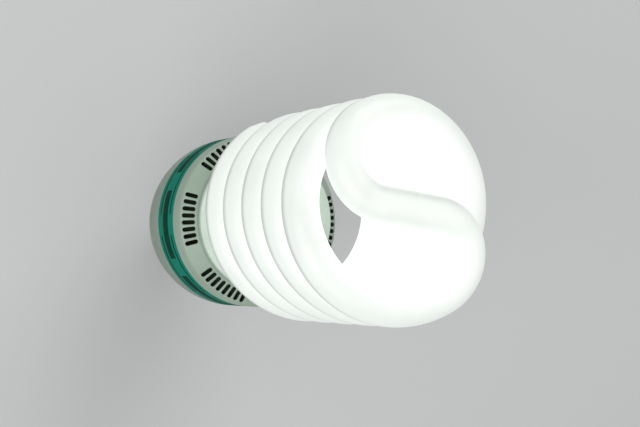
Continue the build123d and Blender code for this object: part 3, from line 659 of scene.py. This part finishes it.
def arm_spans(sizes):
    """Spans of four Bezier points along one arm, from its leg's end to the crown's middle."""
    coil_r = GLASS_HIGH.x - sizes.tube / 2
    lead = 2 * (sizes.tube + sizes.gap)
    slope = lead / (TURN * coil_r)
    coil_z = COVER_HIGH.z + sizes.lift
    helix_end = TURN * sizes.turns
    crown_z = coil_z + lead * sizes.turns
    lobe_r = (coil_r - sizes.slack) / 2
    lobe_middle = coil_r - lobe_r
    lobe_start = helix_end + sizes.climb
    climb_run = coil_r * sizes.climb
    crown_run = climb_run + lobe_r * (math.pi - math.acos(lobe_r / lobe_middle))

    def helix(turn):
        place = polar(coil_r, turn, coil_z + lead * turn / TURN)
        heading = polar(coil_r, turn + math.pi / 2, lead / TURN)
        return place, heading

    # The crown eases from the helix's slope to level; the dip is a bump that starts and ends level
    def crown(share):
        climb = min(share * crown_run, climb_run)
        lobe = (share * crown_run - climb) / lobe_r
        carry = share * (1 - share) ** 2 * slope * crown_run
        dip = 16 * share**2 * (1 - share) ** 2 * sizes.dip
        height = crown_z + carry + share**2 * (3 - 2 * share) * sizes.rise - dip
        place = polar(coil_r, helix_end + climb / coil_r, height)
        if lobe > 0:
            place = polar(lobe_middle, lobe_start, height) + polar(lobe_r, lobe_start + lobe, 0)
        lift = share * (1 - share) * (6 * sizes.rise - 32 * (1 - 2 * share) * sizes.dip)
        lift += (1 - share) * (1 - 3 * share) * slope * crown_run
        return place, polar(crown_run, helix_end + climb / coil_r + lobe + math.pi / 2, lift)

    def spans(path, stops):
        made = []
        for low, high in zip(stops, stops[1:]):
            (start, leave), (end, arrive) = path(low), path(high)
            pull = (high - low) / 3
            made.append((start, start + leave * pull, end - arrive * pull, end))
        return made

    def straight(start, end):
        return (start, start.lerp(end, 1 / 3), start.lerp(end, 2 / 3), end)

    leg_end = polar(LEG_R, -sizes.leg_turn, GLASS_LOW.z)
    leg_top = polar(LEG_R, -sizes.leg_turn, COVER_HIGH.z + sizes.leg_stand)
    coil_start = Vector((coil_r, 0, coil_z))
    coil_pull = Vector((coil_r, -sizes.leg_pull, coil_z - sizes.leg_pull * slope))
    leg_bend = (leg_top, leg_top + Vector((0, 0, sizes.leg_pull)), coil_pull, coil_start)
    helix_steps = math.ceil(sizes.turns * sizes.knots)
    climb_share = climb_run / crown_run
    steps = [i / sizes.crown_knots for i in range(sizes.crown_knots)]
    shares = [climb_share * step for step in steps]
    shares += [climb_share + (1 - climb_share) * step for step in (*steps, 1.0)]
    bridge = crown(1)[0]
    arm = [straight(leg_end, leg_top), leg_bend]
    arm += spans(helix, [helix_end * i / helix_steps for i in range(helix_steps + 1)])
    arm += spans(crown, shares)
    arm.append(straight(bridge, Vector((0, 0, bridge.z))))
    return arm


def mark_facing(piece):
    """Keeps on the mesh how far its surface faces out from the bulb's axis, up, and along X."""
    marks = piece.data.attributes.new("facing", "FLOAT_VECTOR", "POINT")
    for corner, mark in zip(piece.data.vertices, marks.data):
        outward = Vector((corner.co.x, corner.co.y, 0)).normalized()
        mark.vector = (corner.normal.dot(outward), corner.normal.z, corner.normal.x)


class BULB_OT_spiral_glass(bpy.types.Operator):
    """Bend the sealed glass tube from leg to leg through the crown."""

    bl_idname = "bulb.spiral_glass"
    bl_label = "Spiral glass"

    def execute(self, context):
        sizes = context.scene.bulb_glass
        there = Matrix.Rotation(sizes.leg_turn, 4, "Z")
        back = Matrix.Rotation(sizes.leg_turn + math.pi, 4, "Z")
        arm = arm_spans(sizes)
        spans = [[there @ point for point in span] for span in arm]
        spans += [[back @ point for point in reversed(span)] for span in reversed(arm)]
        rest()
        bpy.ops.curve.primitive_bezier_curve_add()
        piece = context.object
        piece.name = "spiral_glass"
        line = piece.data.splines[0]
        line.bezier_points.add(len(spans) + 1 - len(line.bezier_points))
        for knot in line.bezier_points:
            knot.handle_left_type = "FREE"
            knot.handle_right_type = "FREE"
        for start, end, span in zip(line.bezier_points, line.bezier_points[1:], spans):
            start.co = span[0]
            start.handle_right = span[1]
            end.handle_left = span[2]
            end.co = span[3]
        line.bezier_points[0].handle_left = spans[0][0]
        line.bezier_points[-1].handle_right = spans[-1][3]
        piece.data.resolution_u = 8
        piece.data.bevel_depth = sizes.tube / 2
        piece.data.bevel_resolution = sizes.segments // 2 - 2
        piece.data.use_fill_caps = True
        choose(piece)
        bpy.ops.object.convert(target="MESH")
        edit(piece)
        close_up()
        mark_facing(piece)
        finish = phosphor_glass(context.scene.bulb_colours, sizes)
        settle(piece, "spiral_tube", [finish], smooth=50)
        return {"FINISHED"}


class BULB_OT_tube_cement(bpy.types.Operator):
    """Fill the sleeves with cement that creeps up round the legs."""

    bl_idname = "bulb.tube_cement"
    bl_label = "Tube cement"

    def execute(self, context):
        sizes = context.scene.bulb_glass
        inner = sizes.tube / 2
        top = CEMENT_HIGH.z
        corners = [
            (inner, CEMENT_LOW.z, 0),
            (RING_R, CEMENT_LOW.z, 0),
            (RING_R, top - sizes.cement_crown, 0),
            (inner + 0.3 * (RING_R - inner), top - sizes.cement_crown, 0.3 * MM),
            (inner, top, 0),
        ]
        piece = at_legs("tube_cement_rings", rounded(corners), steps=64)
        settle(piece, "tube_cement", [chalk_cement(context.scene.bulb_colours)])
        return {"FINISHED"}


def slot_cutter(sizes, middle, slope):
    """Cutter for one vent slot on the shoulder, with a flared mouth that rounds the slot's edge."""
    rest()
    bpy.ops.mesh.primitive_circle_add(vertices=32, radius=sizes.slot_width / 2, fill_type="NGON")
    cutter = bpy.context.object
    half = (sizes.slot_length - sizes.slot_width) / 2
    for corner in cutter.data.vertices:
        corner.co.x += math.copysign(half, corner.co.x + MERGE)
    edit(cutter)
    deep = 1.4 * sizes.cover_wall
    lip = sizes.slot_lip
    bpy.ops.transform.translate(value=(0, 0, -deep))
    # Rise and spread of each step: the straight slot, two steps of its rounded lip, the clear air over it
    levels = [(deep - lip, 0.0), (0.65 * lip, 0.2 * lip), (0.35 * lip, 0.8 * lip), (2 * lip, 2.5 * lip)]
    before = 0.0
    for rise, spread in levels:
        bpy.ops.mesh.extrude_region_move(TRANSFORM_OT_translate={"value": (0, 0, rise)})
        longer = (sizes.slot_length + 2 * spread) / (sizes.slot_length + 2 * before)
        wider = (sizes.slot_width + 2 * spread) / (sizes.slot_width + 2 * before)
        bpy.ops.transform.resize(value=(longer, wider, 1), center_override=(0, 0, 0))
        before = spread
    close_up()
    cutter.data.transform(Matrix.Translation(middle) @ Matrix.Rotation(slope, 4, "Y"))
    return cutter


def centred(number, step):
    """Offsets of evenly spaced things from their middle."""
    return [step * (i - (number - 1) / 2) for i in range(number)]


class BULB_OT_vented_cover(bpy.types.Operator):
    """Turn the upper cover, bore it for the legs and cut its vent slots."""

    bl_idname = "bulb.vented_cover"
    bl_label = "Vented cover"

    def execute(self, context):
        sizes = context.scene.bulb_housing
        wall = sizes.cover_wall
        radius = COVER_HIGH.x
        top = COVER_HIGH.z
        seam = HOUSING_HIGH.z
        shoulder = seam + sizes.skirt
        deck_r = radius - sizes.shoulder_in
        deck_z = top - sizes.deck
        rise = deck_z - shoulder
        tilt = math.atan2(sizes.shoulder_in, rise)
        drop = wall * math.tan(tilt / 2)
        plug = radius - sizes.wall - FIT
        corners = [
            (0, top, 0),
            (deck_r, top, sizes.crest_round),
            (deck_r, deck_z, sizes.foot_round),
            (radius, shoulder, sizes.shoulder_round),
            (radius, seam, sizes.seam),
            (plug, seam, 0),
            (plug, COVER_LOW.z, sizes.seam),
            (plug - sizes.plug_wall, COVER_LOW.z, sizes.seam),
            (plug - sizes.plug_wall, seam + sizes.plug_wall, 0),
            (radius - wall, seam + sizes.plug_wall, 0),
            (radius - wall, shoulder - drop, 0),
            (deck_r - wall, deck_z - drop, 0),
            (deck_r - wall, top - wall, 0),
            (0, top - wall, 0),
        ]
        piece = turned("vented_cover", rounded(corners, steps=8), steps=240)
        bore = RING_R
        rim = bore + sizes.sleeve_wall
        low = CEMENT_LOW.z
        sleeve_top = top - wall / 2
        lip = sizes.bore_lip
        hole = [
            (0, low - wall),
            (bore, low - wall),
            (bore, top - lip),
            (bore + 2 * lip, top + lip),
            (bore + 2 * lip, top + wall),
            (0, top + wall),
        ]
        sleeve = [(0, low), (rim, low), (rim, sleeve_top), (0, sleeve_top)]
        cut(piece, at_legs("sleeves", sleeve, steps=96), "UNION")
        cutters = [at_legs("bores", hole, steps=96)]
        seat_r = radius - sizes.slot_seat * sizes.shoulder_in
        seat_z = shoulder + sizes.slot_seat * rise
        first = slot_cutter(sizes, Vector((seat_r, 0, seat_z)), math.pi / 2 - tilt)
        steps = centred(sizes.slots, sizes.slot_step)
        groups = centred(sizes.groups, sizes.group_step)
        sides = (math.pi / 2, -math.pi / 2)
        for turn in [side + group + step for side in sides for group in groups for step in steps]:
            copy = first.copy()
            copy.data = first.data.copy()
            context.collection.objects.link(copy)
            copy.data.transform(Matrix.Rotation(turn, 4, "Z"))
            cutters.append(copy)
        choose(first)
        bpy.ops.object.delete()
        cut(piece, joined(cutters))
        edit(piece)
        close_up()
        colours = context.scene.bulb_colours
        finishes = [housing_plastic(colours, sizes), cover_painted_shade(colours)]
        settle(piece, "upper_cover", finishes, smooth=30)
        # Faces inside the cover's wall get the second finish, painted shade
        skin = 0.6 * wall
        for face in piece.data.polygons:
            middle = face.center
            reach = math.hypot(middle.x, middle.y)
            outside = top if reach < deck_r - skin else deck_z - max(0, reach - deck_r) / math.tan(tilt)
            face.material_index = int(middle.z < outside - skin and reach < radius - skin)
        return {"FINISHED"}


class BULB_OT_lower_bowl(bpy.types.Operator):
    """Turn the bowl with its neck and the groove for the print."""

    bl_idname = "bulb.lower_bowl"
    bl_label = "Lower bowl"

    def execute(self, context):
        sizes = context.scene.bulb_housing
        cap = context.scene.bulb_cap
        radius = HOUSING_HIGH.x
        inside = radius - sizes.wall
        low = HOUSING_LOW.z
        cap_top = SHELL_HIGH.z
        bowl_z = cap_top + sizes.neck_step
        belt_z = BAND_LOW.z
        bowl_h = belt_z - bowl_z
        arc_r = ((radius - sizes.neck) ** 2 + bowl_h**2) / (2 * (radius - sizes.neck))
        centre = radius - arc_r
        neck_out = cap.collar - cap.sheet - FIT
        neck_low = cap.root - cap.sheet - FIT
        neck_in = neck_low - sizes.neck_wall
        collar_z = cap_top - cap.collar_length

        def bowl(reach, end_r, steps=40):
            turns = [math.acos((end_r - centre) / reach) * i / steps for i in range(steps + 1)]
            return [(centre + reach * math.cos(turn), belt_z - reach * math.sin(turn), 0) for turn in turns]

        groove = radius - sizes.band_depth
        soft = 0.2 * MM
        outside = [
            (radius, HOUSING_HIGH.z, sizes.seam),
            (radius, BAND_HIGH.z, soft / 2),
            (groove, BAND_HIGH.z, 0),
            (groove, belt_z, 0),
        ]
        outside += bowl(arc_r, sizes.neck + 2 * soft)
        outside += [
            (sizes.neck, bowl_z, soft),
            (sizes.neck, cap_top, 2 * soft),
            (neck_out, cap_top, 0),
            (neck_out, collar_z + sizes.neck_step, 0),
            (neck_low, collar_z, 0),
            (neck_low, low, soft),
            (neck_in, low, soft),
        ]
        outside += reversed(bowl(arc_r - sizes.wall, neck_in))
        outside.append((inside, HOUSING_HIGH.z, 0))
        piece = turned("lower_bowl", rounded(outside))
        finish = housing_plastic(context.scene.bulb_colours, sizes)
        settle(piece, "lower_housing", [finish], smooth=30)
        return {"FINISHED"}


class BULB_OT_printed_band(bpy.types.Operator):
    """Wrap the printed teal band round the belt."""

    bl_idname = "bulb.printed_band"
    bl_label = "Printed band"

    def execute(self, context):
        sizes = context.scene.bulb_housing
        radius = BAND_HIGH.x
        inner = radius - sizes.band_depth
        corners = [
            (inner, BAND_LOW.z, 0),
            (radius, BAND_LOW.z, sizes.band_edge),
            (radius, BAND_HIGH.z, sizes.band_edge),
            (inner, BAND_HIGH.z, 0),
        ]
        piece = turned("printed_band", rounded(corners, steps=3))
        finish = band_print(context.scene.bulb_colours, sizes)
        settle(piece, "colour_band", [finish], smooth=40)
        return {"FINISHED"}


def eased(share):
    """Smooth step from 0 to 1."""
    held = min(1.0, max(0.0, share))
    return held * held * (3 - 2 * held)


def quarter_turn(steps):
    """Angles from nothing to a quarter turn."""
    return [math.pi / 2 * i / steps for i in range(steps + 1)]


class BULB_OT_screw_cap(bpy.types.Operator):
    """Roll the screw shell and set the glass insulator and the soldered contact in it."""

    bl_idname = "bulb.screw_cap"
    bl_label = "Screw cap"

    def execute(self, context):
        sizes = context.scene.bulb_cap
        colours = context.scene.bulb_colours
        shell = self.roll_shell(sizes)
        settle(shell, "screw_shell", [plated_sheet(colours, sizes)], smooth=40)
        seat_z = SHELL_LOW.z + sizes.lip_rise + FIT
        throat = sizes.lip - FIT
        flange = INSULATOR_HIGH.x
        corners = [
            (0, INSULATOR_LOW.z, 0),
            (sizes.insulator_low, INSULATOR_LOW.z, 0.8 * MM),
            (throat, SHELL_LOW.z - FIT, 0.7 * MM),
            (throat, seat_z, 0),
            (flange, seat_z, 0),
            (flange, INSULATOR_HIGH.z, 0),
            (0, INSULATOR_HIGH.z, 0),
        ]
        insulator = turned("cap_glass_disc", rounded(corners), steps=96)
        settle(insulator, "cap_insulator", [black_glass(colours)], smooth=40)
        rim = CONTACT_HIGH.x
        top = CONTACT_HIGH.z
        bulge = 0.55 * top
        dome = [(rim * math.sin(turn), bulge * (1 - math.cos(turn))) for turn in quarter_turn(12)]
        contact = turned("solder_contact", [*dome, (rim, top), (0, top)], steps=64)
        settle(contact, "centre_contact", [solder_drop(colours)], smooth=50)
        return {"FINISHED"}

    def roll_shell(self, sizes, rows=72, curl_rows=8):
        """The shell's sheet with its thread, lip and punch marks."""
        low = SHELL_LOW.z
        high = SHELL_HIGH.z
        lip_z = low + sizes.lip_rise
        collar_z = high - sizes.collar_length
        slope_z = collar_z + sizes.collar_slope
        curl = sizes.root - sizes.lip
        outer = []
        inner = []
        for i, turn in enumerate(quarter_turn(curl_rows)[:-1]):
            radius = sizes.lip + curl * math.sin(turn)
            height = lip_z - sizes.lip_rise * math.cos(turn)
            share = i / curl_rows
            outer.append((radius, height))
            inner.append((radius - sizes.sheet * share, height + sizes.sheet * (1 - share)))
        for i in range(rows + 1):
            height = lip_z + (high - lip_z) * i / rows
            climb = eased((height - collar_z) / sizes.collar_slope)
            radius = sizes.root + (sizes.collar - sizes.root) * climb
            outer.append((radius, height))
            inner.append((radius - sizes.sheet, height))
        shell = turned("rolled_screw_shell", outer + inner[::-1], steps=180)
        thread_z = lip_z + sizes.flank / 2
        thread_end = collar_z - sizes.flank / 2
        mark_z = (slope_z + high) / 2
        for corner in shell.data.vertices:
            share = math.atan2(corner.co.y, corner.co.x) / TURN % 1
            radius = math.hypot(corner.co.x, corner.co.y)
            crest = round((corner.co.z - thread_z) / sizes.pitch - share)
            crest_z = thread_z + sizes.pitch * (share + crest)
            ridge = 0.5 + 0.5 * math.cos(TURN * (corner.co.z - crest_z) / sizes.pitch)
            ridge *= eased((crest_z - thread_z + sizes.fade) / sizes.fade)
            ridge *= eased((thread_end + sizes.fade - crest_z) / sizes.fade)
            ridge *= eased((corner.co.z - lip_z + 1 * MM) / MM)
            near_mark = (share * sizes.punches + 0.5) % 1 - 0.5
            aside = near_mark * TURN / sizes.punches * radius
            mark = math.exp(-(aside**2 + (corner.co.z - mark_z) ** 2) / sizes.punch_size**2)
            rolled = radius + (SHELL_HIGH.x - sizes.root) * ridge - sizes.punch * mark
            corner.co.x *= rolled / radius
            corner.co.y *= rolled / radius
        return shell


class BULB_OT_ballast_finishes(bpy.types.Operator):
    """Give each inner piece of the frame its own finish."""

    bl_idname = "bulb.ballast_finishes"
    bl_label = "Ballast finishes"

    def execute(self, context):
        finishes = {slot: grained(slot, *look) for slot, look in GRAINS.items()}
        finishes |= {slot: banded_body(slot, *look) for slot, look in RINGED.items()}
        finishes["board_laminate"] = woven_laminate()
        finishes["copper_wire"] = wound_wire()
        for part in frame["record"]["subparts"]:
            if part["material_slot"] in finishes:
                node = frame["nodes"][part["node"]]
                node.data.materials.clear()
                node.data.materials.append(finishes[part["material_slot"]])
        return {"FINISHED"}


def floor_finish(colours):
    """Pale matt floor."""
    look = Finish("pale_floor", roughness=0.85)
    cloud = look.noise(scale=6, detail=4)
    return look.paint(base_color=look.tinted(cloud, colours.floor, 0.97))


class BULB_OT_stage(bpy.types.Operator):
    """Lay the floor, set the lights and place the camera."""

    bl_idname = "bulb.stage"
    bl_label = "Stage"

    def execute(self, context):
        sizes = context.scene.bulb_stage
        rest()
        bpy.ops.mesh.primitive_plane_add(size=sizes.floor_size)
        floor = context.object
        floor.name = "floor"
        floor.data.materials.append(floor_finish(context.scene.bulb_colours))
        target = Vector((0, 0, sizes.target))
        self.light("key", Vector(sizes.key_place), sizes.key_side, sizes.key, target)
        self.light("fill", Vector(sizes.fill_place), sizes.fill_side, sizes.fill, target)
        world = bpy.data.worlds.new("even_sky")
        world.use_nodes = True
        sky = world.node_tree.nodes["Background"]
        sky.inputs["Color"].default_value = (1, 1, 1, 1)
        sky.inputs["Strength"].default_value = sizes.sky
        context.scene.world = world
        self.camera(context, sizes, target)
        context.scene.view_settings.view_transform = "Standard"
        return {"FINISHED"}

    def light(self, name, place, side, power, target):
        """One soft box that faces the bulb."""
        rest()
        bpy.ops.object.light_add(type="AREA", location=place)
        lamp = bpy.context.object
        lamp.name = name
        lamp.data.size = side
        lamp.data.energy = power
        lamp.rotation_euler = (target - place).to_track_quat("-Z", "Y").to_euler()

    def camera(self, context, sizes, target):
        """The camera, on the bulb's crown side."""
        rest()
        bpy.ops.object.camera_add()
        camera = context.object
        toward = polar(1, sizes.azimuth, 0)
        upright = Vector((0, 0, 1))
        look = -(math.sin(sizes.tilt) * toward + math.cos(sizes.tilt) * upright)
        level = -math.cos(sizes.tilt) * toward + math.sin(sizes.tilt) * upright
        right = Matrix.Rotation(-sizes.roll, 3, look) @ level
        up = right.cross(look)
        place = target - sizes.distance * look + sizes.aside * right + sizes.above * up
        rows = Matrix((right, up, -look)).transposed()
        camera.matrix_world = Matrix.Translation(place) @ rows.to_4x4()
        camera.data.lens = sizes.lens
        context.scene.camera = camera


class BULB_PT_panel(bpy.types.Panel):
    """Lists the bulb's pieces."""

    bl_idname = "BULB_PT_panel"
    bl_label = "Spiral bulb"
    bl_space_type = "VIEW_3D"
    bl_region_type = "UI"
    bl_category = "Bulb"

    def draw(self, context):
        for step in STEPS:
            self.layout.operator(step.bl_idname)
        for group in GROUPS:
            sizes = getattr(context.scene, group)
            box = self.layout.box()
            box.label(text=GROUPS[group].__doc__)
            for name in GROUPS[group].__annotations__:
                box.prop(sizes, name, text=name.replace("_", " ").capitalize())


GROUPS = {
    "bulb_glass": GlassSizes,
    "bulb_housing": HousingSizes,
    "bulb_cap": CapSizes,
    "bulb_colours": Colours,
    "bulb_stage": StageSizes,
}
STEPS = (
    BULB_OT_spiral_glass,
    BULB_OT_tube_cement,
    BULB_OT_vented_cover,
    BULB_OT_lower_bowl,
    BULB_OT_printed_band,
    BULB_OT_screw_cap,
    BULB_OT_ballast_finishes,
    BULB_OT_stage,
)


def register():
    for made in (*GROUPS.values(), *STEPS, BULB_PT_panel):
        bpy.utils.register_class(made)
    for name, group in GROUPS.items():
        setattr(bpy.types.Scene, name, PointerProperty(type=group))


def unregister():
    for name in GROUPS:
        delattr(bpy.types.Scene, name)
    for made in (BULB_PT_panel, *reversed(STEPS), *GROUPS.values()):
        bpy.utils.unregister_class(made)


def main():
    register()
    bpy.ops.bulb.spiral_glass()
    bpy.ops.bulb.tube_cement()
    bpy.ops.bulb.vented_cover()
    bpy.ops.bulb.lower_bowl()
    bpy.ops.bulb.printed_band()
    bpy.ops.bulb.screw_cap()
    bpy.ops.bulb.ballast_finishes()
    bpy.ops.bulb.stage()


if __name__ == "__main__":
    main()
